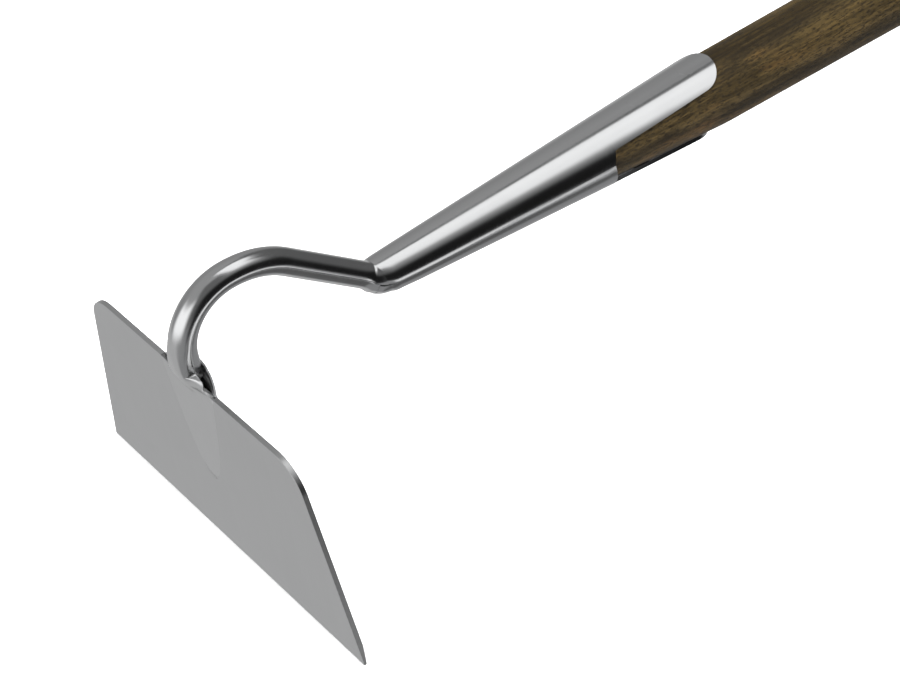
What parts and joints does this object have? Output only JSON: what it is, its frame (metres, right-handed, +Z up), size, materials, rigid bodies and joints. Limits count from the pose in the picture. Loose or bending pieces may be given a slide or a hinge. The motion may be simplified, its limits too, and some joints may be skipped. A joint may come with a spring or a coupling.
{
  "type": "draw hoe",
  "caption": "Swan-neck draw hoe: trapezoid steel blade, bent neck, cone socket with two straps and a long ash shaft.",
  "frame": {"origin": "middle of the cutting edge, on the ground that the hoe rests on", "axes": "+Z up the blade, +Y from the blade towards the far end of the shaft, +X along the cutting edge"},
  "size_m": [0.16, 1.5361, 0.1172],
  "materials": {
    "blade_steel": "satin ground stainless steel",
    "head_steel": "polished stainless steel",
    "ash": "dark stained, lightly waxed ash"
  },
  "bodies": {
    "root": {"blade": "blade_steel", "front_shell": "head_steel", "neck_rear_shell": "head_steel", "socket_lower_shell": "head_steel", "rivet_near_socket": "head_steel", "rivet_near_tip": "head_steel", "shaft": "ash"}
  },
  "joints": []
}
